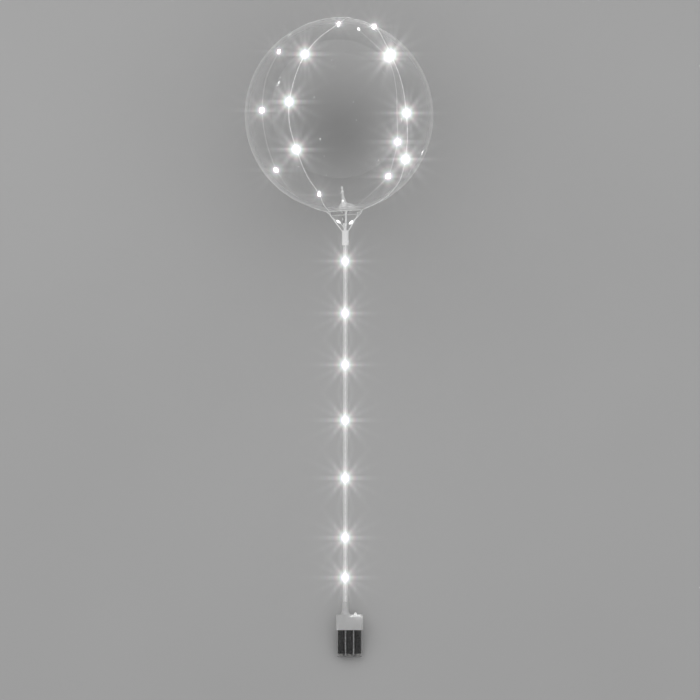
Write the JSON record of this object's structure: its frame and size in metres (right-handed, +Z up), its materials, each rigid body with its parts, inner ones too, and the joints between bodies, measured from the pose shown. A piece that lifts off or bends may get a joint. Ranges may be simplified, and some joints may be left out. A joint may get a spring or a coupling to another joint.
{
  "type": "led balloon light",
  "caption": "Clear film balloon in a ribbed cup on a hollow clear stick, wound with a wire string of small white lamps and powered from a milky battery case.",
  "frame": {"origin": "on the floor under the middle of the lying object's outer box", "axes": "+Y from the battery case to the balloon, +Z up off the floor, +X to the side where the switch is"},
  "size_m": [0.3574, 1.2, 0.357],
  "materials": {
    "clear_film": "thin clear glossy film",
    "clear_plastic": "clear moulded plastic, glossy",
    "milky_plastic": "milky translucent plastic, satin",
    "lamp_wire": "clear insulated wire with glossy resin lamps",
    "cell_black": "glossy black sleeve, bare of words",
    "spring_steel": "bright nickel plating",
    "switch_white": "satin white",
    "switch_dark": "matt black"
  },
  "bodies": {
    "balloon_light": {"balloon": "clear_film", "balloon_cup": "clear_plastic", "stick": "clear_plastic", "light_string": "lamp_wire", "case_head": "milky_plastic", "battery_tray": "clear_plastic", "battery_left": "cell_black", "battery_middle": "cell_black", "battery_right": "cell_black", "spring_left": "spring_steel", "spring_middle": "spring_steel", "spring_right": "spring_steel", "switch_body": "switch_dark"},
    "switch": {"switch_knob": "switch_white"}
  },
  "joints": [
    {"name": "switch_slide", "type": "slide", "parent": "balloon_light", "child": "switch", "axis": [1, 0, 0], "range_m": [0, 0.003]}
  ]
}
